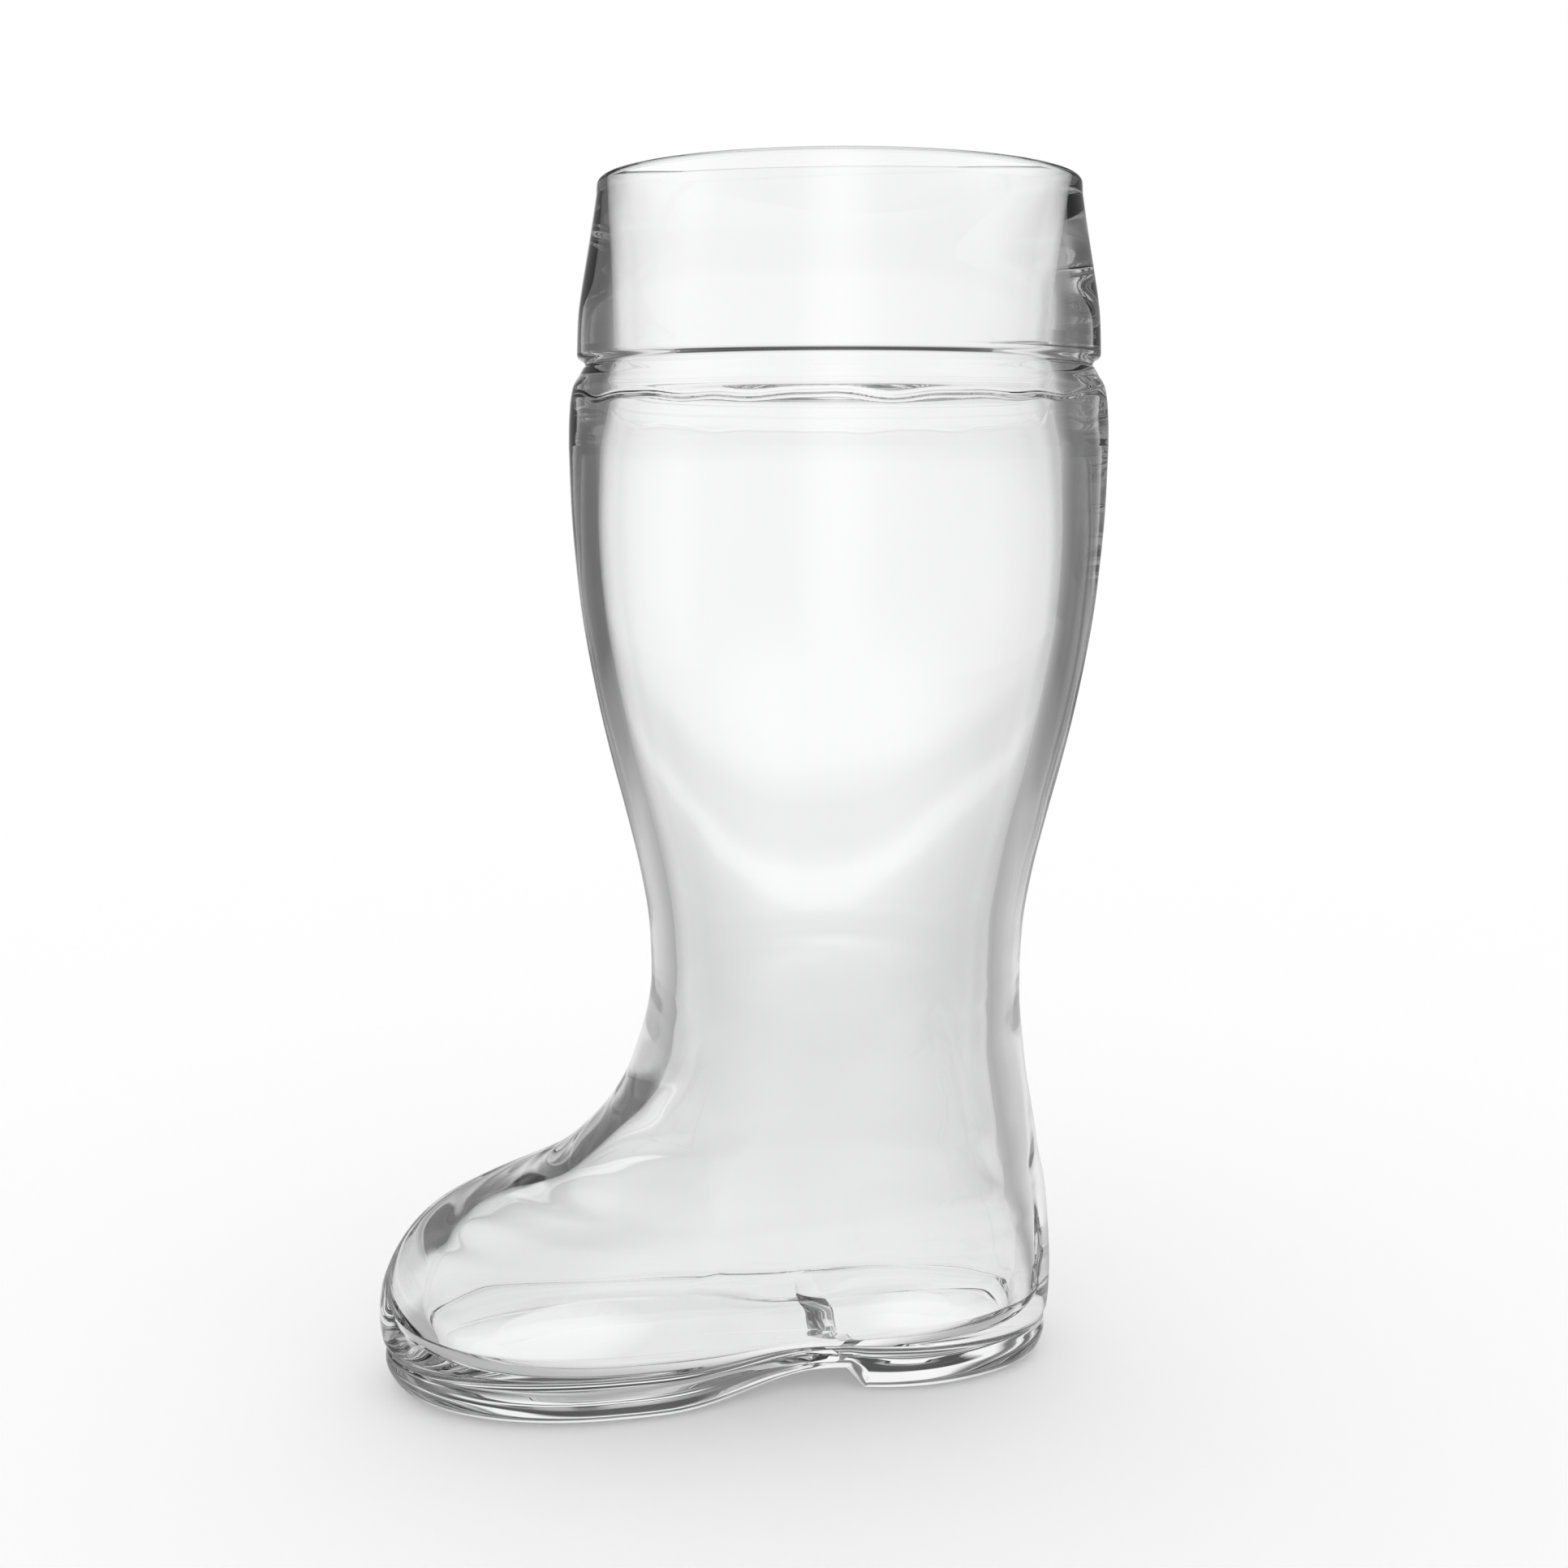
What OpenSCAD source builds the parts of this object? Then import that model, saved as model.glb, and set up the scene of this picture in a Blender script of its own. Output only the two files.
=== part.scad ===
// Beer boot: a one-litre drinking glass in the shape of a boot, one piece of clear glass.
// The toe points to -X, Y runs across the foot and Z is up.
// The origin is on the table, under the middle of the boot's box.

/* [Leg] */
// Height of the glass from the table to the rim
boot_h = 250; // [215:1:320]
// Height of the ankle, the narrowest place, above the table
ankle_h = 88; // [70:0.5:105]
// Outer radius of the ankle
ankle_r = 39.4; // [34:0.1:46]
// Outer radius of the calf, the widest place
calf_r = 54.9; // [50:0.1:65]
// Thickness of the glass in the ankle and most of the calf
leg_wall = 6; // [3.5:0.1:8]
// Thickness of the glass at the top of the calf, where it is widest
calf_top_wall = 7.5; // [5:0.1:9]

/* [Cuff] */
// Height of the cuff, from its lower edge to the rim
cuff_h = 34; // [22:0.5:50]
// Outer radius at the rim
rim_r = 48.4; // [45:0.1:52]
// Thickness of the glass at the rounded rim
rim_t = 2.4; // [1.6:0.1:4]
// Outer radius of the cuff's lower edge
cuff_r = 52.9; // [50:0.1:60]
// Radius at the bottom of the groove under the cuff
groove_r = 51.3; // [47:0.1:55]
// Height of the rounded step and groove under the cuff
groove_h = 2.6; // [1.5:0.1:5]
// Height of the round shoulder between the groove and the calf
shoulder_h = 15.5; // [8:0.5:24]
// Inner radius at the narrowest place inside, below the cuff
collar_r = 44.1; // [38:0.1:46]
// How far the narrowest place inside lies below the cuff's lower edge
collar_drop = 2; // [1:0.5:10]

/* [Foot] */
// Reach of the toe in front of the leg's axis
toe_reach = 98.5; // [85:0.5:125]
// Reach of the heel behind the leg's axis
heel_reach = 47.8; // [42:0.1:60]
// Width of the foot at the ball
ball_w = 60; // [50:0.5:74]
// Thickness of the glass in the toe
toe_wall = 8.5; // [5:0.1:11]
// Thickness of the glass in the back of the heel
heel_wall = 7; // [4:0.1:9]
// Thickness of the glass at the sides of the foot
side_wall = 4.6; // [3:0.1:7]
// Height over which the foot's cavity rounds in to its floor
floor_rise = 6; // [4:0.1:9]
// How far the cavity rounds in to its floor at the toe
floor_toe_round = 15; // [8:0.5:20]
// How far the cavity rounds in to its floor at the sides
floor_side_round = 9; // [5:0.5:12]
// How far the cavity rounds in to its floor at the heel
floor_heel_round = 14; // [8:0.5:18]

/* [Sole] */
// Height of the crease between the upper and the sole
sole_h = 9; // [6.5:0.1:12]
// Thickness of the glass under the cavity
floor_t = 8.6; // [7:0.1:12]
// How far the sole stands back from the widest line of the foot
sole_inset = 1; // [0.4:0.1:2]
// How far the sole's edge rolls under at the toe
toe_roll = 6.5; // [3:0.1:9]
// How far the sole's edge rolls under at the sides
side_roll = 4.5; // [2:0.1:6]
// How far the sole's edge rolls under at the heel
heel_roll = 3.8; // [2:0.1:6]
// Height of the arch, at the front of the heel
arch_h = 4.6; // [2.5:0.1:6]
// Where the arch starts, in front of the leg's axis
arch_front = 40; // [30:1:55]
// Where the front of the heel stands on the table, behind the leg's axis
heel_front = 2; // [0:0.5:14]
// How far the front of the heel leans forward, from the table up to the arch
heel_slant = 5.5; // [0.5:0.5:9]

/* [Hidden] */

// Facets round the leg's curves, points round a ring of the foot, and smooth steps from row to row
leg_points = 96;
ring_points = 40;
row_steps = 2;

// How far the foot's neck reaches up into the leg's glass, and how thick the skin over it is
neck_h = 2;
neck_skin = 0.15;
// Overrun of the cut under the arch
overrun = 2;

// The leg's axis, set so that the origin is under the middle of the box
axis_x = (toe_reach - max(calf_r, heel_reach)) / 2;
ledge_z = boot_h - cuff_h;
calf_top_z = ledge_z - groove_h - shoulder_h;
lip_r = rim_t / 2;
ankle_cavity_r = ankle_r - leg_wall;

// Calf: height from the ankle to the widest line, swell from ankle to calf, and gain in the wall's thickness
calf_shares = [
    [0, 0, 0],
    [0.04, 0.003, 0],
    [0.12, 0.04, 0],
    [0.22, 0.16, 0],
    [0.32, 0.325, 0],
    [0.41, 0.485, 0],
    [0.5, 0.63, 0],
    [0.6, 0.765, 0],
    [0.69, 0.865, 0.03],
    [0.78, 0.93, 0.15],
    [0.88, 0.98, 0.46],
    [1, 1, 1]
];
// Outside of the shoulder: height from the widest line to the groove, and fall from calf to groove
shoulder_shares = [
    [0.27, 0.03],
    [0.5, 0.1],
    [0.62, 0.165],
    [0.74, 0.27],
    [0.82, 0.42],
    [0.88, 0.6],
    [0.94, 0.75],
    [1, 0.9]
];
// Outside of the groove, from its bottom up: depth under the cuff's edge, and fall from edge to bottom
groove_shares = [
    [0.9, 1],
    [0.74, 0.97],
    [0.6, 0.87],
    [0.5, 0.7],
    [0.42, 0.5],
    [0.33, 0.28],
    [0.2, 0.09],
    [0, 0]
];
// Outside of the cuff: height above its lower edge, and fall from the lower edge to the rim
cuff_shares = [
    [0.03, 0.01],
    [0.155, 0.05],
    [0.28, 0.13],
    [0.445, 0.33],
    [0.63, 0.58],
    [0.815, 0.82],
    [0.94, 0.97]
];
// Inside of the cuff: height from the rim down to the narrowest place, and taper on the way
mouth_shares = [
    [0.1, 0.1],
    [0.3, 0.3],
    [0.5, 0.5],
    [0.7, 0.72],
    [0.85, 0.88],
    [0.95, 0.97],
    [1, 1]
];
// Inside, below the narrowest place: height down to the calf's cavity, and widening on the way
collar_shares = [
    [0.08, 0.03],
    [0.16, 0.12],
    [0.24, 0.24],
    [0.32, 0.36],
    [0.42, 0.49],
    [0.54, 0.63],
    [0.68, 0.77],
    [0.84, 0.9],
    [1, 1]
];

// Rows of the foot's outside, from the ankle down to just above the sole. Each row holds
// the height between sole and ankle, the reach from ankle to toe and from ankle to heel,
// the narrowing from ankle to ball, the widest place along the toe's reach,
// the roundness of the toe end and of the heel end (2 is an ellipse), and the waist's depth.
upper_shares = [
    [1.00, 0.00, 0.00, 0.00, 0.00, 2.00, 2.00, 0.00],
    [0.96, 0.003, 0.004, 0.004, 0.00, 2.00, 2.00, 0.00],
    [0.89, 0.018, 0.045, 0.06, 0.01, 2.00, 2.00, 0.00],
    [0.80, 0.054, 0.15, 0.20, 0.01, 2.00, 2.00, 0.00],
    [0.71, 0.10, 0.26, 0.38, 0.02, 2.00, 2.05, 0.00],
    [0.62, 0.18, 0.42, 0.57, 0.04, 2.00, 2.10, 0.00],
    [0.54, 0.29, 0.55, 0.72, 0.07, 2.00, 2.20, 0.00],
    [0.49, 0.39, 0.62, 0.81, 0.10, 2.00, 2.25, 0.00],
    [0.45, 0.52, 0.70, 0.87, 0.14, 2.05, 2.30, 0.00],
    [0.41, 0.67, 0.79, 0.91, 0.19, 2.10, 2.35, 0.01],
    [0.37, 0.79, 0.85, 0.95, 0.24, 2.10, 2.40, 0.02],
    [0.33, 0.86, 0.90, 0.97, 0.29, 2.10, 2.45, 0.04],
    [0.28, 0.915, 0.94, 0.99, 0.35, 2.10, 2.50, 0.07],
    [0.22, 0.96, 0.98, 1.00, 0.41, 2.10, 2.60, 0.11],
    [0.15, 0.993, 1.00, 1.00, 0.46, 2.10, 2.70, 0.17],
    [0.08, 1.00, 0.98, 1.01, 0.50, 2.10, 2.80, 0.23],
    [0.03, 0.993, 0.94, 1.04, 0.52, 2.10, 2.85, 0.28]
];
// Rows of the sole's outside: height on the sole, and how far its edge has rolled under
sole_shares = [
    [1.00, 0.09],
    [0.91, 0.03],
    [0.67, 0.00],
    [0.44, 0.12],
    [0.22, 0.34],
    [0.07, 0.66],
    [0.00, 1.00]
];
// Rows of the cavity in the foot, from the ankle down to where it rounds in to its floor:
// the height between there and the ankle, and the other columns as for the outside.
cavity_shares = [
    [1.00, 0.00, 0.00, 0.00, 0.00, 2.00, 2.00, 0.00],
    [0.95, 0.003, 0.003, 0.006, 0.00, 2.00, 2.00, 0.00],
    [0.87, 0.02, 0.03, 0.065, 0.01, 2.00, 2.00, 0.00],
    [0.75, 0.07, 0.12, 0.26, 0.02, 2.00, 2.00, 0.00],
    [0.64, 0.13, 0.25, 0.45, 0.03, 2.00, 2.00, 0.00],
    [0.54, 0.21, 0.40, 0.62, 0.05, 2.00, 2.05, 0.00],
    [0.45, 0.33, 0.53, 0.75, 0.08, 2.00, 2.10, 0.00],
    [0.37, 0.47, 0.65, 0.83, 0.12, 2.05, 2.20, 0.01],
    [0.33, 0.63, 0.74, 0.88, 0.17, 2.05, 2.25, 0.02],
    [0.29, 0.77, 0.82, 0.92, 0.22, 2.10, 2.30, 0.04],
    [0.25, 0.85, 0.88, 0.95, 0.27, 2.10, 2.35, 0.06],
    [0.21, 0.92, 0.93, 0.97, 0.32, 2.10, 2.45, 0.09],
    [0.16, 0.96, 0.98, 0.99, 0.37, 2.10, 2.55, 0.13],
    [0.10, 0.99, 1.00, 1.00, 0.42, 2.10, 2.65, 0.18],
    [0.05, 1.00, 0.97, 1.02, 0.46, 2.10, 2.70, 0.23],
    [0.00, 0.99, 0.92, 1.05, 0.50, 2.10, 2.75, 0.27]
];
// Rows of the cavity's rounded lower edge: height above the floor, and how far it has rounded in
floor_shares = [
    [0.60, 0.10],
    [0.30, 0.30],
    [0.10, 0.60],
    [0.00, 1.00]
];
// Where the waist is narrowest and how long it is, along the toe's reach
waist_place_share = 0.10;
waist_length_share = 0.20;

// A row between the rows of a table, on a smooth curve through them all, s counted in rows
function row_at(rows, s) =
    let (
        last = len(rows) - 1,
        i = min(floor(s), last - 1),
        t = s - i,
        before = rows[max(i - 1, 0)],
        from = rows[i],
        to = rows[i + 1],
        after = rows[min(i + 2, last)]
    )
    from + (to - before) * t / 2
        + (before - from * 5 / 2 + to * 2 - after / 2) * pow(t, 2)
        + ((from - to) * 3 / 2 + (after - before) / 2) * pow(t, 3);

// All rows of a table with extra smooth rows put between them
function smooth_rows(rows, steps) =
    [for (k = [0 : (len(rows) - 1) * steps]) row_at(rows, k / steps)];

function between(low, high, share) = low + (high - low) * share;

// The outside of the leg as [radius, height], from the ankle up to the rim's arc
function leg_outside() = concat(
    [for (row = smooth_rows(calf_shares, row_steps))
        [between(ankle_r, calf_r, row[1]), between(ankle_h, calf_top_z, row[0])]],
    [for (row = shoulder_shares)
        [between(calf_r, groove_r, row[1]), between(calf_top_z, ledge_z - groove_h, row[0])]],
    [for (row = groove_shares)
        [between(cuff_r, groove_r, row[1]), ledge_z - groove_h * row[0]]],
    [for (row = cuff_shares)
        [between(cuff_r, rim_r, row[1]), between(ledge_z, boot_h - lip_r, row[0])]]
);

// The round rim, from its outside over the top to its inside
function rim_arc() = [
    for (angle = [0 : 15 : 180])
        [rim_r - lip_r + lip_r * cos(angle), boot_h - lip_r + lip_r * sin(angle)]
];

// The inside of the calf as [radius, height], at a row of its table
function calf_cavity(row) = [
    between(ankle_r, calf_r, row[1]) - between(leg_wall, calf_top_wall, row[2]),
    between(ankle_h, calf_top_z, row[0])
];

// The inside of the leg as [radius, height], from below the rim's arc down to the ankle
function leg_inside() =
    let (
        rim_z = boot_h - lip_r,
        ring_z = ledge_z - collar_drop,
        mouth_r = rim_r - rim_t,
        top = calf_cavity([1, 1, 1])
    )
    concat(
        [for (row = mouth_shares)
            [between(mouth_r, collar_r, row[1]), between(rim_z, ring_z, row[0])]],
        [for (row = collar_shares)
            [between(collar_r, top[0], row[1]), between(ring_z, top[1], row[0])]],
        [for (k = [len(calf_shares) * row_steps - row_steps - 1 : -1 : 0])
            calf_cavity(row_at(calf_shares, k / row_steps))]
    );

// The leg's glass, turned about its axis
module leg() {
    rotate_extrude($fn = leg_points)
        polygon(concat(leg_outside(), rim_arc(), leg_inside()));
}

// One ring of the foot: z, reach to toe and to heel, half width, widest place,
// roundness of the two ends and depth of the waist
function ring(z, toe, heel, half_w, middle, toe_round, heel_round, waist) = [
    for (k = [0 : ring_points - 1])
        let (
            angle = 360 * k / ring_points,
            ahead = cos(angle) > 0,
            power = 2 / (ahead ? toe_round : heel_round),
            run = ahead ? toe - middle : heel + middle,
            u = middle + run * sign(cos(angle)) * pow(abs(cos(angle)), power),
            away = (u - toe_reach * waist_place_share) / (toe_reach * waist_length_share),
            v = half_w * sign(sin(angle)) * pow(abs(sin(angle)), power) * (1 - waist * exp(-pow(away, 2)))
        )
        [-u, v, z]
];

// Ring of the foot's outside at a row of its table
function upper_ring(row) = ring(
    between(sole_h, ankle_h, row[0]),
    between(ankle_r - neck_skin, toe_reach, row[1]),
    between(ankle_r - neck_skin, heel_reach, row[2]),
    between(ankle_r - neck_skin, ball_w / 2, row[3]),
    toe_reach * row[4],
    row[5],
    row[6],
    row[7]
);

// Ring of the sole, which keeps the plan of the upper's last row
function sole_ring(row) =
    let (plan = upper_shares[len(upper_shares) - 1])
    ring(
        sole_h * row[0],
        toe_reach - sole_inset - toe_roll * row[1],
        heel_reach - sole_inset - heel_roll * row[1],
        ball_w / 2 - sole_inset - side_roll * row[1],
        toe_reach * plan[4],
        plan[5],
        plan[6],
        plan[7]
    );

// Ring of the cavity in the foot at a row of its table
function cavity_ring(row) = ring(
    between(floor_t + floor_rise, ankle_h, row[0]),
    between(ankle_cavity_r + neck_skin, toe_reach - toe_wall, row[1]),
    between(ankle_cavity_r + neck_skin, heel_reach - heel_wall, row[2]),
    between(ankle_cavity_r + neck_skin, ball_w / 2 - side_wall, row[3]),
    toe_reach * row[4],
    row[5],
    row[6],
    row[7]
);

// Ring of the cavity's lower edge, which keeps the plan of the cavity's last row
function floor_ring(row) =
    let (plan = cavity_shares[len(cavity_shares) - 1])
    ring(
        floor_t + floor_rise * row[0],
        between(ankle_cavity_r, toe_reach - toe_wall, plan[1]) - floor_toe_round * row[1],
        between(ankle_cavity_r, heel_reach - heel_wall, plan[2]) - floor_heel_round * row[1],
        between(ankle_cavity_r, ball_w / 2 - side_wall, plan[3]) - floor_side_round * row[1],
        toe_reach * plan[4],
        plan[5],
        plan[6],
        plan[7]
    );

// A round ring of the foot's neck
function neck_ring(r) = ring(ankle_h + neck_h, r, r, r, 0, 2, 2, 0);

// Side faces between two neighbouring rings of a stack
function band(i) = [
    for (k = [0 : ring_points - 1])
        let (next = (k + 1) % ring_points)
        for (face = [
            [i * ring_points + k, i * ring_points + next, (i + 1) * ring_points + next],
            [i * ring_points + k, (i + 1) * ring_points + next, (i + 1) * ring_points + k]
        ])
        face
];

// The foot's glass: outside from the sole up to the neck, then the cavity down to the floor
module foot_shell() {
    soles = [for (row = sole_shares) sole_ring(row)];
    uppers = [for (row = smooth_rows(upper_shares, row_steps)) upper_ring(row)];
    cavities = [for (row = cavity_shares) cavity_ring(row)];
    floors = [for (row = floor_shares) floor_ring(row)];
    rings = concat(
        [for (i = [len(soles) - 1 : -1 : 0]) soles[i]],
        [for (i = [len(uppers) - 1 : -1 : 0]) uppers[i]],
        [neck_ring(ankle_r - neck_skin), neck_ring(ankle_cavity_r + neck_skin)],
        cavities,
        floors
    );
    faces = concat(
        [[for (k = [ring_points - 1 : -1 : 0]) k]],
        [for (i = [0 : len(rings) - 2]) each band(i)],
        [[for (k = [0 : ring_points - 1]) (len(rings) - 1) * ring_points + k]]
    );
    polyhedron([for (r = rings) each r], faces, convexity = 6);
}

// The space under the arch, between the ball and the leaning front of the heel
module arch_cut() {
    steps = 12;
    curve = [
        for (k = [0 : steps])
            let (t = k / steps)
            [between(heel_front - heel_slant, -arch_front, t), arch_h * (1 - t * t * (3 - 2 * t))]
    ];
    below = [[-arch_front, -overrun], [heel_front, -overrun], [heel_front, 0]];
    translate([0, ball_w / 2 + overrun, 0])
        rotate([90, 0, 0])
            linear_extrude(ball_w + overrun * 2)
                polygon(concat(below, curve));
}

module boot_glass() {
    color([0.86, 0.92, 0.92, 0.45])
        translate([axis_x, 0, 0]) {
            leg();
            difference() {
                foot_shell();
                arch_cut();
            }
        }
}

boot_glass();
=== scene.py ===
import math

import bmesh
import bpy
import numpy as np
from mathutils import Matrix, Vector


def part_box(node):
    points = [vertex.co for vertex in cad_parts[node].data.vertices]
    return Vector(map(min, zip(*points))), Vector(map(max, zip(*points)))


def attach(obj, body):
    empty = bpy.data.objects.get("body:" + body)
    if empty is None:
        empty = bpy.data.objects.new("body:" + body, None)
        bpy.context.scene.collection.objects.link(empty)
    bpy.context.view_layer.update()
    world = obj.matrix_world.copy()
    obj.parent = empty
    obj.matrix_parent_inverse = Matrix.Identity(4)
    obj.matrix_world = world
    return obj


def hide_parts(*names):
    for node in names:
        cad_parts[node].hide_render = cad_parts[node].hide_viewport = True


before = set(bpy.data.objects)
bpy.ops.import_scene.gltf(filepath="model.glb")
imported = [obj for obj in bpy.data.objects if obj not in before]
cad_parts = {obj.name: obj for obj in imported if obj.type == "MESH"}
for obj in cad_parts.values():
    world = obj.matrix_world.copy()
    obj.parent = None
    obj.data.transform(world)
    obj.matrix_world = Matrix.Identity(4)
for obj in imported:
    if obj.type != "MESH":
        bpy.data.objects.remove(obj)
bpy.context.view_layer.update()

# Sizes in metres. The overall ones come from the frame's box, the others repeat the part's own.
MM = 0.001
low, high = (Vector(corner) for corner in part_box("boot_glass"))
boot_h = high.z
toe_reach = 98.5 * MM
axis_x = low.x + toe_reach
calf_r = min(high.x - axis_x, high.y)

ankle_h = 88 * MM
ankle_r = 39.4 * MM
leg_wall = 6 * MM
calf_top_wall = 7.5 * MM

cuff_h = 34 * MM
rim_r = 48.4 * MM
rim_t = 2.4 * MM
cuff_r = 52.9 * MM
groove_r = 51.3 * MM
groove_h = 2.6 * MM
shoulder_h = 15.5 * MM
collar_r = 44.1 * MM
collar_drop = 2 * MM

heel_reach = 47.8 * MM
ball_w = 60 * MM
toe_wall = 8.5 * MM
heel_wall = 7 * MM
side_wall = 4.6 * MM
floor_rise = 6 * MM
floor_toe_round = 15 * MM
floor_side_round = 9 * MM
floor_heel_round = 14 * MM

sole_h = 9 * MM
floor_t = 8.6 * MM
sole_inset = 1 * MM
toe_roll = 6.5 * MM
side_roll = 4.5 * MM
heel_roll = 3.8 * MM
arch_h = 4.6 * MM
arch_front = 40 * MM
heel_front = 2 * MM
heel_slant = 5.5 * MM

ledge_z = boot_h - cuff_h
calf_top_z = ledge_z - groove_h - shoulder_h
lip_r = rim_t / 2

# Unevenness of the hand-finished glass: the cavity stands a little off the middle towards the toe,
# a fine wavy ridge runs round inside under the cuff, and the heel's front isn't quite square
cavity_shift = 1.1 * MM
ankle_shift_share = 0.5
crease_drop = 9.2 * MM
crease_deep = 0.42 * MM
crease_wide = 0.33 * MM
crease_wave = 0.3 * MM
# The ridge's waves: how many go round, how high each is as a share, and where it starts in radians
crease_waves = [(9, 1, 0.7), (14, 0.7, 2.1), (23, 0.4, 4)]
bottom_skew_share = 0.07
top_skew_share = 0.16

# The leg's outlines, as shares: height first, then radius, and for the calf how much thicker its wall is
calf_shares = [
    (0, 0, 0), (0.04, 0.003, 0), (0.12, 0.04, 0), (0.22, 0.16, 0), (0.32, 0.325, 0), (0.41, 0.485, 0), (0.5, 0.63, 0),
    (0.6, 0.765, 0), (0.69, 0.865, 0.03), (0.78, 0.93, 0.15), (0.88, 0.98, 0.46), (1, 1, 1),
]
shoulder_shares = [
    (0, 0), (0.27, 0.03), (0.5, 0.1), (0.62, 0.165), (0.74, 0.27), (0.82, 0.42), (0.88, 0.6), (0.94, 0.75), (1, 0.9),
]
groove_shares = [(0.9, 1), (0.74, 0.97), (0.6, 0.87), (0.5, 0.7), (0.42, 0.5), (0.33, 0.28), (0.2, 0.09), (0, 0)]
cuff_shares = [
    (0, 0), (0.03, 0.01), (0.155, 0.05), (0.28, 0.13), (0.445, 0.33), (0.63, 0.58), (0.815, 0.82), (0.94, 0.97),
]
mouth_shares = [(0.1, 0.1), (0.3, 0.3), (0.5, 0.5), (0.7, 0.72), (0.85, 0.88), (0.95, 0.97), (1, 1)]
collar_shares = [
    (0, 0), (0.08, 0.03), (0.16, 0.12), (0.24, 0.24), (0.32, 0.36), (0.42, 0.49), (0.54, 0.63), (0.68, 0.77),
    (0.84, 0.9), (1, 1),
]

# The foot's rows, as shares: height, reach to toe and to heel, narrowing, widest place,
# roundness of the toe end and of the heel end, and the waist's depth
upper_shares = [
    (1.00, 0.00, 0.00, 0.00, 0.00, 2.00, 2.00, 0.00),
    (0.96, 0.003, 0.004, 0.004, 0.00, 2.00, 2.00, 0.00),
    (0.89, 0.018, 0.045, 0.06, 0.01, 2.00, 2.00, 0.00),
    (0.80, 0.054, 0.15, 0.20, 0.01, 2.00, 2.00, 0.00),
    (0.71, 0.10, 0.26, 0.38, 0.02, 2.00, 2.05, 0.00),
    (0.62, 0.18, 0.42, 0.57, 0.04, 2.00, 2.10, 0.00),
    (0.54, 0.29, 0.55, 0.72, 0.07, 2.00, 2.20, 0.00),
    (0.49, 0.39, 0.62, 0.81, 0.10, 2.00, 2.25, 0.00),
    (0.45, 0.52, 0.70, 0.87, 0.14, 2.05, 2.30, 0.00),
    (0.41, 0.67, 0.79, 0.91, 0.19, 2.10, 2.35, 0.01),
    (0.37, 0.79, 0.85, 0.95, 0.24, 2.10, 2.40, 0.02),
    (0.33, 0.86, 0.90, 0.97, 0.29, 2.10, 2.45, 0.04),
    (0.28, 0.915, 0.94, 0.99, 0.35, 2.10, 2.50, 0.07),
    (0.22, 0.96, 0.98, 1.00, 0.41, 2.10, 2.60, 0.11),
    (0.15, 0.993, 1.00, 1.00, 0.46, 2.10, 2.70, 0.17),
    (0.08, 1.00, 0.98, 1.01, 0.50, 2.10, 2.80, 0.23),
    (0.03, 0.993, 0.94, 1.04, 0.52, 2.10, 2.85, 0.28),
]
cavity_shares = [
    (1.00, 0.00, 0.00, 0.00, 0.00, 2.00, 2.00, 0.00),
    (0.95, 0.003, 0.003, 0.006, 0.00, 2.00, 2.00, 0.00),
    (0.87, 0.012, 0.03, 0.065, 0.01, 2.00, 2.00, 0.00),
    (0.75, 0.042, 0.12, 0.26, 0.02, 2.00, 2.00, 0.00),
    (0.64, 0.10, 0.25, 0.45, 0.03, 2.00, 2.00, 0.00),
    (0.54, 0.21, 0.40, 0.62, 0.05, 2.00, 2.05, 0.00),
    (0.45, 0.33, 0.53, 0.75, 0.08, 2.00, 2.10, 0.00),
    (0.37, 0.47, 0.65, 0.83, 0.12, 2.05, 2.20, 0.01),
    (0.33, 0.63, 0.74, 0.88, 0.17, 2.05, 2.25, 0.02),
    (0.29, 0.77, 0.82, 0.92, 0.22, 2.10, 2.30, 0.04),
    (0.25, 0.85, 0.88, 0.95, 0.27, 2.10, 2.35, 0.06),
    (0.21, 0.92, 0.93, 0.97, 0.32, 2.10, 2.45, 0.09),
    (0.16, 0.96, 0.98, 0.99, 0.37, 2.10, 2.55, 0.13),
    (0.10, 0.99, 1.00, 1.00, 0.42, 2.10, 2.65, 0.18),
    (0.05, 1.00, 0.97, 1.02, 0.46, 2.10, 2.70, 0.23),
    (0.00, 0.99, 0.92, 1.05, 0.50, 2.10, 2.75, 0.27),
]
# How far the sole's edge rolls under, and how far the cavity rounds in to its floor, by height
sole_shares = [(1.00, 0.09), (0.91, 0.03), (0.67, 0.00), (0.44, 0.12), (0.22, 0.34), (0.07, 0.66), (0.00, 1.00)]
floor_shares = [(1.00, 0.00), (0.60, 0.10), (0.30, 0.30), (0.10, 0.60), (0.00, 1.00)]
waist_place_share = 0.10
waist_length_share = 0.20

# Mesh counts: points round a ring, extra points beside the heel's front and how far round they
# spread in radians, steps from row to row in each table, arc points of the rim, rings of a flat end
RING = 360
HEEL_EXTRA = 90
HEEL_SPREAD = 0.14
FOOT_STEPS = 6
LEG_STEPS = 4
GROOVE_STEPS = 5
COLLAR_STEPS = 10
SOLE_STEPS = 4
FLOOR_STEPS = 5
RIM_STEPS = 18
CAP_STEPS = 14
# Points closer than this are one point, and edges shorter than the second are none
WELD = 0.01 * MM
SPECK = 0.001 * MM


def between(first, last, share):
    return first + (last - first) * share


def row_at(rows, s):
    """A row between the rows of a table, on a smooth curve through them all."""
    last = len(rows) - 1
    i = min(int(s), last - 1)
    t = s - i
    before, start, end, after = (np.array(rows[k], float) for k in (max(i - 1, 0), i, i + 1, min(i + 2, last)))
    return (
        start
        + (end - before) * t / 2
        + (before - start * 2.5 + end * 2 - after / 2) * t**2
        + ((start - end) * 1.5 + (after - before) / 2) * t**3
    )


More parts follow.
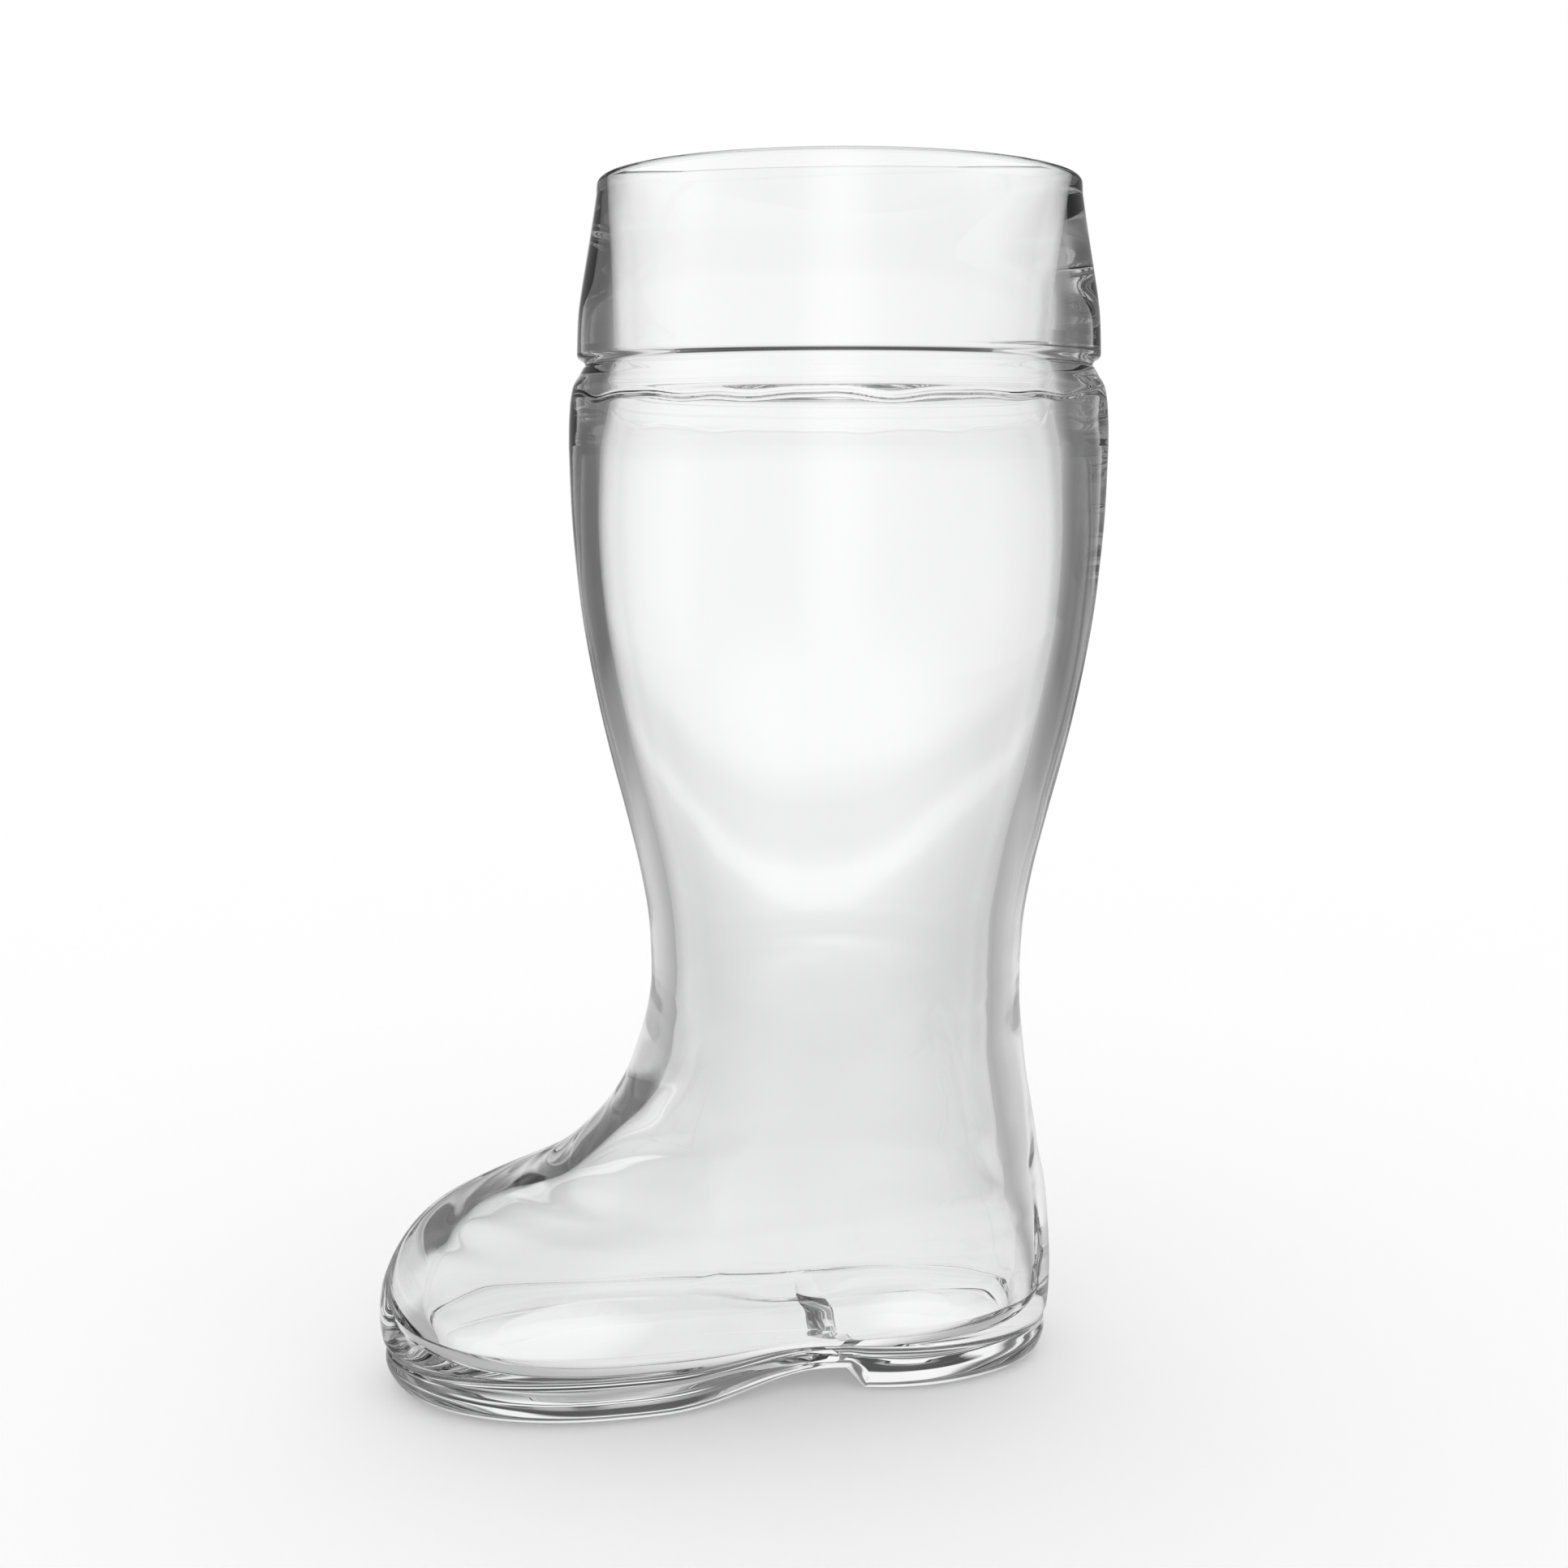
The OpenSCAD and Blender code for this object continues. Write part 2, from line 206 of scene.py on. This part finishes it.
def smooth(rows, steps):
    return [row_at(rows, k / steps) for k in range((len(rows) - 1) * steps + 1)]


def ring_angles():
    """Angles round a ring from the toe, closer together where the heel's front crosses the sole."""
    even = np.arange(RING) * 2 * math.pi / RING
    plan = upper_shares[-1]
    middle = toe_reach * plan[4]
    reach = heel_reach - sole_inset - heel_roll / 2
    share = (middle + heel_front - heel_slant / 2) / (middle + reach)
    place = math.pi - math.acos(share ** (plan[6] / 2))
    near = np.linspace(-HEEL_SPREAD, HEEL_SPREAD, HEEL_EXTRA)
    return np.unique(np.round(np.concatenate([even, place + near, 2 * math.pi - place - near]), 6))


ANGLES = ring_angles()


def ring(z, toe, heel, half_w, middle, toe_round, heel_round, waist):
    """One ring of the foot, in x from the leg's axis."""
    cos, sin = np.cos(ANGLES), np.sin(ANGLES)
    power = 2 / np.where(cos > 0, toe_round, heel_round)
    run = np.where(cos > 0, toe - middle, heel + middle)
    u = middle + run * np.sign(cos) * np.abs(cos) ** power
    away = (u - toe_reach * waist_place_share) / (toe_reach * waist_length_share)
    v = half_w * np.sign(sin) * np.abs(sin) ** power * (1 - waist * np.exp(-(away**2)))
    return np.stack([-u, v, np.full_like(u, z)], axis=1)


def round_ring(radius, z, shift=0.0):
    """A round ring of the leg, moved towards the toe by shift."""
    cos, sin = np.cos(ANGLES), np.sin(ANGLES)
    return np.stack([-radius * cos - shift, radius * sin, np.full_like(cos, z)], axis=1)


def crease_height():
    """Height of the ridge inside, waving up and down on its way round."""
    wave = sum(share * np.sin(count * ANGLES + start) for count, share, start in crease_waves)
    return ledge_z - crease_drop + crease_wave * wave


def arch(u, v):
    """Height of the sole's underside above the table, by the place before and beside the leg's axis."""
    foot_of_heel = -heel_front + bottom_skew_share * v
    top_of_heel = foot_of_heel + heel_slant + (top_skew_share - bottom_skew_share) * v
    t = np.clip((arch_front - u) / (arch_front - top_of_heel), 0, 1)
    s = np.clip((u - foot_of_heel) / (top_of_heel - foot_of_heel), 0, 1)
    return arch_h * t * t * (3 - 2 * t) * s


def lifted(points, keep):
    """Points of the sole raised by the arch, less towards the crease."""
    points = points.copy()
    points[:, 2] += arch(-points[:, 0], points[:, 1]) * keep
    return points


def sole_rings():
    """The sole's edge, from the table up to the crease."""
    plan = upper_shares[-1]
    return [
        lifted(
            ring(
                sole_h * row[0],
                toe_reach - sole_inset - toe_roll * row[1],
                heel_reach - sole_inset - heel_roll * row[1],
                ball_w / 2 - sole_inset - side_roll * row[1],
                toe_reach * plan[4],
                *plan[5:],
            ),
            1 - row[0],
        )
        for row in reversed(smooth(sole_shares, SOLE_STEPS))
    ]


def upper_rings():
    """The foot's outside, from the crease up to the ankle."""
    return [
        ring(
            between(sole_h, ankle_h, row[0]),
            between(ankle_r, toe_reach, row[1]),
            between(ankle_r, heel_reach, row[2]),
            between(ankle_r, ball_w / 2, row[3]),
            toe_reach * row[4],
            *row[5:],
        )
        for row in reversed(smooth(upper_shares, FOOT_STEPS))
    ]


def leg_rings():
    """The leg's outside, from above the ankle up to the rim's arc."""
    rows = [
        (between(ankle_r, calf_r, row[1]), between(ankle_h, calf_top_z, row[0]))
        for row in smooth(calf_shares, LEG_STEPS)[1:]
    ]
    rows += [
        (between(calf_r, groove_r, row[1]), between(calf_top_z, ledge_z - groove_h, row[0]))
        for row in smooth(shoulder_shares, LEG_STEPS)[1:]
    ]
    rows += [
        (between(cuff_r, groove_r, row[1]), ledge_z - groove_h * row[0])
        for row in smooth(groove_shares, GROOVE_STEPS)
    ]
    rows += [
        (between(cuff_r, rim_r, row[1]), between(ledge_z, boot_h - lip_r, row[0]))
        for row in smooth(cuff_shares, LEG_STEPS)[1:]
    ]
    return [round_ring(*row) for row in rows]


def rim_rings():
    """The rim's arc, from the outside over to the inside."""
    angles = [math.radians(180 * k / RIM_STEPS) for k in range(RIM_STEPS + 1)]
    return [
        round_ring(rim_r - lip_r + lip_r * math.cos(a), boot_h - lip_r + lip_r * math.sin(a))
        for a in angles
    ]


def leg_cavity_rings():
    """The leg's inside, from below the rim's arc down to the ankle."""
    rim_z = boot_h - lip_r
    ring_z = ledge_z - collar_drop
    mouth_r = rim_r - rim_t
    inside = calf_r - calf_top_wall
    rows = [
        (between(mouth_r, collar_r, row[1]), between(rim_z, ring_z, row[0]), row[0])
        for row in smooth(mouth_shares, LEG_STEPS)
    ]
    rows += [
        (between(collar_r, inside, row[1]), between(ring_z, calf_top_z, row[0]), 1)
        for row in smooth(collar_shares, COLLAR_STEPS)[1:]
    ]
    rows += [
        (
            between(ankle_r, calf_r, row[1]) - between(leg_wall, calf_top_wall, row[2]),
            between(ankle_h, calf_top_z, row[0]),
            between(ankle_shift_share, 1, row[0]),
        )
        for row in reversed(smooth(calf_shares, LEG_STEPS)[:-1])
    ]
    crease = crease_height()
    rings = []
    for radius, z, shift in rows:
        ridge = crease_deep * np.exp(-(((z - crease) / crease_wide) ** 2))
        rings.append(round_ring(radius - ridge, z, cavity_shift * shift))
    return rings


def foot_cavity_rings():
    """The foot's cavity, from below the ankle down to its flat floor."""
    inner = ankle_r - leg_wall
    toe = toe_reach - toe_wall
    heel = heel_reach - heel_wall
    half = ball_w / 2 - side_wall
    rings = []
    for row in smooth(cavity_shares, FOOT_STEPS)[1:]:
        points = ring(
            between(floor_t + floor_rise, ankle_h, row[0]),
            between(inner, toe, row[1]),
            between(inner, heel, row[2]),
            between(inner, half, row[3]),
            toe_reach * row[4],
            *row[5:],
        )
        points[:, 0] -= cavity_shift * ankle_shift_share * row[0]
        rings.append(points)
    plan = cavity_shares[-1]
    for row in smooth(floor_shares, FLOOR_STEPS)[1:]:
        rings.append(
            ring(
                floor_t + floor_rise * row[0],
                between(inner, toe, plan[1]) - floor_toe_round * row[1],
                between(inner, heel, plan[2]) - floor_heel_round * row[1],
                between(inner, half, plan[3]) - floor_side_round * row[1],
                toe_reach * plan[4],
                *plan[5:],
            )
        )
    return rings


def cap_rings(edge):
    """Rings that fill a flat end, drawn in to its middle line across the foot.

    They keep the heights of the edge. Under the arch and the heel's front, which isn't square, these differ
    from side to side, so a seam stays open there on the middle line.
    """
    rings = []
    for k in range(1, CAP_STEPS + 1):
        points = edge.copy()
        points[:, 1] *= 1 - k / CAP_STEPS
        rings.append(points)
    return rings


def glass_mesh():
    """The whole boot as one mesh: outside from the sole up, over the rim and down the cavity."""
    soles = sole_rings()
    cavity = foot_cavity_rings()
    rings = list(reversed(cap_rings(soles[0]))) + soles + upper_rings() + leg_rings()
    rings += rim_rings() + leg_cavity_rings() + cavity + cap_rings(cavity[-1])
    count = len(ANGLES)
    points = np.concatenate(rings)
    points[:, 0] += axis_x
    faces = []
    for i in range(len(rings) - 1):
        for k in range(count):
            n = (k + 1) % count
            faces.append((i * count + k, i * count + n, (i + 1) * count + n, (i + 1) * count + k))
    mesh = bpy.data.meshes.new("boot_glass_clear")
    mesh.from_pydata(points.tolist(), [], faces)
    return mesh


def weld(mesh):
    """Joins the points that coincide on the two middle lines and turns every face outward."""
    work = bmesh.new()
    work.from_mesh(mesh)
    bmesh.ops.remove_doubles(work, verts=work.verts, dist=WELD)
    bmesh.ops.dissolve_degenerate(work, edges=work.edges, dist=SPECK)
    bmesh.ops.recalc_face_normals(work, faces=work.faces)
    work.to_mesh(mesh)
    work.free()


# The camera, from the photograph: place beside the leg's axis, turn towards the toe and tilt down,
# and the focal length as a share of the picture's width
CAMERA_DISTANCE = 0.400
CAMERA_SIDE = 0.011
CAMERA_HEIGHT = 0.1967
CAMERA_TURN = math.radians(9)
CAMERA_TILT = math.radians(9.8)
FOCAL_SHARE = 2365 / 1932
SENSOR = 36

# The glass: noise scales per metre, the melt's two tints, and how high the mould's waves are
GLASS_IOR = 1.5
MELT_SCALE = 16
MELT_TINTS = ((0.985, 0.99, 0.988, 1), (1, 1, 1, 1))
MOULD_SCALE = 60
MOULD_HEIGHT = 0.06 * MM

# How much is left of light by how many times it was turned aside in the glass
TURNED_OFTEN = [(3, 1), (6, 0.4)]
BOUNCES = 24
GLOSSY_BOUNCES = 16


class Nodes:
    """Adds small nodes to a node tree, each taking sockets or numbers."""

    def __init__(self, tree):
        self.tree = tree

    def add(self, kind, **settings):
        node = self.tree.nodes.new(kind)
        for name, value in settings.items():
            setattr(node, name, value)
        return node

    def put(self, value, socket):
        if isinstance(value, bpy.types.NodeSocket):
            self.tree.links.new(value, socket)
        else:
            socket.default_value = value

    def math(self, operation, *values):
        node = self.add("ShaderNodeMath", operation=operation)
        for k, value in enumerate(values):
            self.put(value, node.inputs[k])
        return node.outputs[0]

    def ramp(self, value, stops):
        """Straight lines through the (place, level) stops, flat beyond them."""
        first, last = stops[0][0], stops[-1][0]
        place = self.add("ShaderNodeMapRange", clamp=True)
        self.put(value, place.inputs["Value"])
        place.inputs["From Min"].default_value = first
        place.inputs["From Max"].default_value = last
        node = self.add("ShaderNodeFloatCurve")
        self.put(place.outputs["Result"], node.inputs["Value"])
        curve = node.mapping.curves[0]
        stops = [((stop[0] - first) / (last - first), stop[1]) for stop in stops]
        curve.points[0].location = stops[0]
        curve.points[-1].location = stops[-1]
        for stop in stops[1:-1]:
            curve.points.new(*stop)
        for point in curve.points:
            point.handle_type = "VECTOR"
        node.mapping.update()
        return node.outputs["Value"]

    def noise(self, place, scale, detail):
        node = self.add("ShaderNodeTexNoise")
        self.put(place, node.inputs["Vector"])
        node.inputs["Scale"].default_value = scale
        node.inputs["Detail"].default_value = detail
        return node.outputs["Fac"]

    def mix(self, share, low, high):
        node = self.add("ShaderNodeMix", data_type="FLOAT")
        self.put(share, node.inputs[0])
        self.put(low, node.inputs[2])
        self.put(high, node.inputs[3])
        return node.outputs[0]

    def met(self, path):
        """What a ray of the camera has met: 1 once it has met the glass, 1 if the glass turned it aside,
        and how much is left of it when it was turned many times inside the wall."""
        glossy, passed = path.outputs["Glossy Depth"], path.outputs["Transmission Depth"]
        direct = self.math("LESS_THAN", path.outputs["Diffuse Depth"], 0.5)
        glass = self.math("GREATER_THAN", self.math("ADD", glossy, passed), 0.5)
        once = self.math("MULTIPLY", self.math("GREATER_THAN", glossy, 0.5), self.math("LESS_THAN", passed, 2.5))
        turned = self.math("MAXIMUM", once, self.math("GREATER_THAN", glossy, 1.5))
        return self.math("MULTIPLY", glass, direct), turned, self.ramp(glossy, TURNED_OFTEN)

    def turn(self, x, y):
        """Degrees on the plan between a direction and the middle of the studio's backdrop, either way."""
        heading = self.math("SUBTRACT", self.math("ARCTAN2", y, x), math.pi / 2 - CAMERA_TURN)
        return self.math("DEGREES", self.math("ABSOLUTE", self.math("WRAP", heading, math.pi, -math.pi)))


def glass_material():
    """Clear soda-lime glass, its tint a little uneven from the melt and its surface faintly wavy from the mould."""
    material = bpy.data.materials.new("clear_glass")
    material.use_nodes = True
    n = Nodes(material.node_tree)
    shader = material.node_tree.nodes["Principled BSDF"]
    place = n.add("ShaderNodeTexCoord").outputs["Object"]
    tint = n.add("ShaderNodeMix", data_type="RGBA")
    n.put(n.noise(place, MELT_SCALE, 1), tint.inputs[0])
    tint.inputs[6].default_value, tint.inputs[7].default_value = MELT_TINTS
    n.put(tint.outputs[2], shader.inputs["Base Color"])
    wavy = n.add("ShaderNodeBump")
    wavy.inputs["Strength"].default_value = 1
    wavy.inputs["Distance"].default_value = MOULD_HEIGHT
    n.put(n.noise(place, MOULD_SCALE, 0), wavy.inputs["Height"])
    n.put(wavy.outputs["Normal"], shader.inputs["Normal"])
    shader.inputs["Roughness"].default_value = 0.0
    shader.inputs["IOR"].default_value = GLASS_IOR
    shader.inputs["Transmission Weight"].default_value = 1.0
    return material


def make_glass():
    mesh = glass_mesh()
    weld(mesh)
    mesh.polygons.foreach_set("use_smooth", [True] * len(mesh.polygons))
    mesh.materials.append(glass_material())
    piece = bpy.data.objects.new("boot_glass_clear", mesh)
    bpy.context.scene.collection.objects.link(piece)
    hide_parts("boot_glass")
    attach(piece, "root")
    return piece


# What light that the glass turned aside meets: upright strips of the studio by their turn in degrees,
# bands overhead by the sine of the rise, where those start, and how far to the sides they reach
STRIPS = [
    (0, 0.55), (2, 0.5), (3.5, 0.08), (5.5, 0.08), (7.5, 0.6), (9, 0.85), (12, 0.7), (16, 0.38), (20, 0.24),
    (26, 0.19), (34, 0.16), (46, 0.14), (50, 0.2), (55, 0.33), (59, 0.58), (66, 0.78), (80, 0.88), (90, 0.92),
    (108, 0.82), (122, 0.4), (145, 0.22), (160, 0.3), (170, 0.7), (180, 0.9),
]
OVERHEAD = [
    (0.28, 0.3), (0.31, 0.05), (0.4, 0.05), (0.43, 0.95), (0.51, 0.95), (0.55, 0.35), (0.58, 0.08),
    (0.66, 0.08), (0.71, 0.85), (1, 0.95),
]
OVERHEAD_START = [(0.24, 0), (0.3, 1)]
OVERHEAD_SIDES = [(0, 1), (22, 1), (30, 0), (180, 0)]
# The same light painted on the floor as painted strips of light and shade: its level near the glass by the turn,
# and how much the strips show there by the distance in metres
PAINTED_NEAR_FLOOR = [
    (0, 0.95), (12, 0.95), (18, 0.85), (26, 0.63), (40, 0.57), (50, 0.46), (58, 0.38), (64, 0.45), (74, 0.75),
    (84, 0.8), (92, 0.5), (104, 0.45), (118, 0.52), (132, 0.72), (150, 0.92), (180, 0.85),
]
PAINTED_FLOOR_STRIPS = [(0, 0), (0.36, 0), (0.5, 0.55), (0.85, 1), (1.3, 1)]
# What light that went straight through the glass meets: the studio by the sine of its rise, the floor
# by the distance in metres, how that distance shrinks to the sides, how both fall off to the sides, and
# how much of that the floor has by the distance. On the floor this is painted shade: darker near the glass like a
# shadow, with a painted lighter band further out and white far away
BACKDROP = [
    (-1, 0.93), (-0.16, 0.96), (-0.12, 1), (0.06, 1), (0.12, 0.93), (0.42, 0.84), (0.48, 0.5),
    (0.54, 0.04), (0.7, 0.04), (0.76, 0.85), (1, 0.9),
]
PAINTED_FLOOR_SHADE = [
    (0, 0.84), (0.05, 0.83), (0.1, 0.79), (0.19, 0.755), (0.24, 0.735), (0.3, 0.76), (0.36, 0.79),
    (0.405, 0.85), (0.43, 0.95), (0.45, 0.97), (0.475, 0.97), (0.51, 0.9), (0.54, 0.87), (0.65, 0.87),
    (0.72, 0.92), (0.8, 0.98), (0.95, 1), (1.3, 1),
]
FLOOR_BEND = [(0, 1), (4, 0.97), (8, 0.885), (12, 0.78), (16, 0.725), (22, 0.69), (30, 0.667), (60, 0.667), (90, 1)]
PAINTED_SIDE_SHADE_ON_FLOOR = [(0.1, 0), (0.3, 0.5), (0.75, 0.55), (1.25, 1)]
SIDES = [
    (0, 1), (5, 1), (10, 0.96), (16, 0.88), (22, 0.83), (28, 0.74), (32, 0.52), (36, 0.42), (40, 0.5),
    (45, 0.65), (60, 0.76), (75, 0.92), (90, 1), (180, 1),
]
# Painted pools of light on the table under the ball and the heel, standing in for light the glass gathers there:
# place and half lengths, and how they fade by the square of the share of the way to their edge
PAINTED_LIGHT_POOLS = [(-45 * MM, 7 * MM, 28 * MM, 19 * MM), (49 * MM, 4 * MM, 21 * MM, 18 * MM)]
PAINTED_POOL_FADE = [(0, 1), (0.35, 0.9), (1, 0)]
FLOOR_R = 1.3
FLOOR_POINTS = 180
FLOOR_DROP = 0.05 * MM


def make_floor():
    bpy.ops.mesh.primitive_circle_add(
        vertices=FLOOR_POINTS, radius=FLOOR_R, fill_type="NGON", location=(0, 0, -FLOOR_DROP)
    )
    floor = bpy.context.object
    floor.name = "floor"
    material = bpy.data.materials.new("floor")
    material.use_nodes = True
    tree = material.node_tree
    n = Nodes(tree)
    shader = tree.nodes["Principled BSDF"]
    shader.inputs["Roughness"].default_value = 1.0
    shader.inputs["Specular IOR Level"].default_value = 0.0
    path = n.add("ShaderNodeLightPath")
    place = n.add("ShaderNodeSeparateXYZ")
    n.put(n.add("ShaderNodeNewGeometry").outputs["Position"], place.inputs[0])
    x, y = n.math("SUBTRACT", place.outputs["X"], axis_x), place.outputs["Y"]
    away = n.math("SQRT", n.math("ADD", n.math("MULTIPLY", x, x), n.math("MULTIPLY", y, y)))
    turn = n.turn(x, y)
    # Painted strips of light and shade on the floor, for rays that the glass turned aside
    aside = n.mix(n.ramp(away, PAINTED_FLOOR_STRIPS), n.ramp(turn, PAINTED_NEAR_FLOOR), n.ramp(turn, STRIPS))
    # Painted shade on the floor for rays that went straight through the glass, darker near it and to the sides
    painted_side_shade = n.mix(n.ramp(away, PAINTED_SIDE_SHADE_ON_FLOOR), 1.0, n.ramp(turn, SIDES))
    painted_through_shading = n.math("MULTIPLY", n.ramp(n.math("MULTIPLY", away, n.ramp(turn, FLOOR_BEND)), PAINTED_FLOOR_SHADE), painted_side_shade)
    # Painted pools of light under the ball and the heel
    for pool in PAINTED_LIGHT_POOLS:
        along = n.math("DIVIDE", n.math("SUBTRACT", place.outputs["X"], pool[0]), pool[2])
        across = n.math("DIVIDE", n.math("SUBTRACT", place.outputs["Y"], pool[1]), pool[3])
        spread = n.math("ADD", n.math("MULTIPLY", along, along), n.math("MULTIPLY", across, across))
        painted_through_shading = n.mix(n.ramp(spread, PAINTED_POOL_FADE), painted_through_shading, 1.0)
    met, turned, left = n.met(path)
    # Seen through the glass, the floor shows only this painted light and shade, as its colour and as a painted glow
    # of its own; seen by the camera directly it stays white and keeps its real shadow
    level = n.mix(met, 1.0, n.mix(turned, painted_through_shading, n.math("MULTIPLY", aside, left)))
    painted_floor_grey = n.add("ShaderNodeCombineColor")
    for k in range(3):
        n.put(level, painted_floor_grey.inputs[k])
    n.put(painted_floor_grey.outputs["Color"], shader.inputs["Base Color"])
    shown = n.add("ShaderNodeMixShader")
    painted_glow = n.add("ShaderNodeEmission")
    n.put(painted_floor_grey.outputs["Color"], painted_glow.inputs["Color"])
    n.put(met, shown.inputs[0])
    n.put(shader.outputs[0], shown.inputs[1])
    n.put(painted_glow.outputs[0], shown.inputs[2])
    n.put(shown.outputs[0], tree.nodes["Material Output"].inputs["Surface"])
    floor.data.materials.append(material)


def make_world():
    world = bpy.data.worlds.new("studio")
    world.use_nodes = True
    bpy.context.scene.world = world
    tree = world.node_tree
    n = Nodes(tree)
    background = tree.nodes["Background"]
    background.inputs["Color"].default_value = (1, 1, 1, 1)
    path = n.add("ShaderNodeLightPath")
    way = n.add("ShaderNodeSeparateXYZ")
    n.put(n.add("ShaderNodeTexCoord").outputs["Generated"], way.inputs[0])
    rise = way.outputs["Z"]
    turn = n.turn(way.outputs["X"], way.outputs["Y"])
    over = n.math("MULTIPLY", n.ramp(rise, OVERHEAD_START), n.ramp(turn, OVERHEAD_SIDES))
    aside = n.mix(over, n.ramp(turn, STRIPS), n.ramp(rise, OVERHEAD))
    straight = n.math("MULTIPLY", n.ramp(rise, BACKDROP), n.ramp(turn, SIDES))
    met, turned, left = n.met(path)
    level = n.mix(turned, straight, n.math("MULTIPLY", aside, left))
    n.put(n.mix(met, 1.0, level), background.inputs["Strength"])


def make_camera():
    data = bpy.data.cameras.new("camera")
    data.sensor_width = SENSOR
    data.lens = SENSOR * FOCAL_SHARE
    camera = bpy.data.objects.new("camera", data)
    bpy.context.scene.collection.objects.link(camera)
    sin, cos = math.sin(CAMERA_TURN), math.cos(CAMERA_TURN)
    camera.location = (
        axis_x - CAMERA_SIDE * cos - CAMERA_DISTANCE * sin,
        CAMERA_SIDE * sin - CAMERA_DISTANCE * cos,
        CAMERA_HEIGHT,
    )
    camera.rotation_euler = (math.pi / 2 - CAMERA_TILT, 0, -CAMERA_TURN)
    bpy.context.scene.camera = camera


make_camera()
make_glass()
make_floor()
make_world()
scene = bpy.context.scene
scene.view_settings.view_transform = "Standard"
scene.cycles.max_bounces = BOUNCES
scene.cycles.glossy_bounces = GLOSSY_BOUNCES
scene.cycles.transmission_bounces = BOUNCES
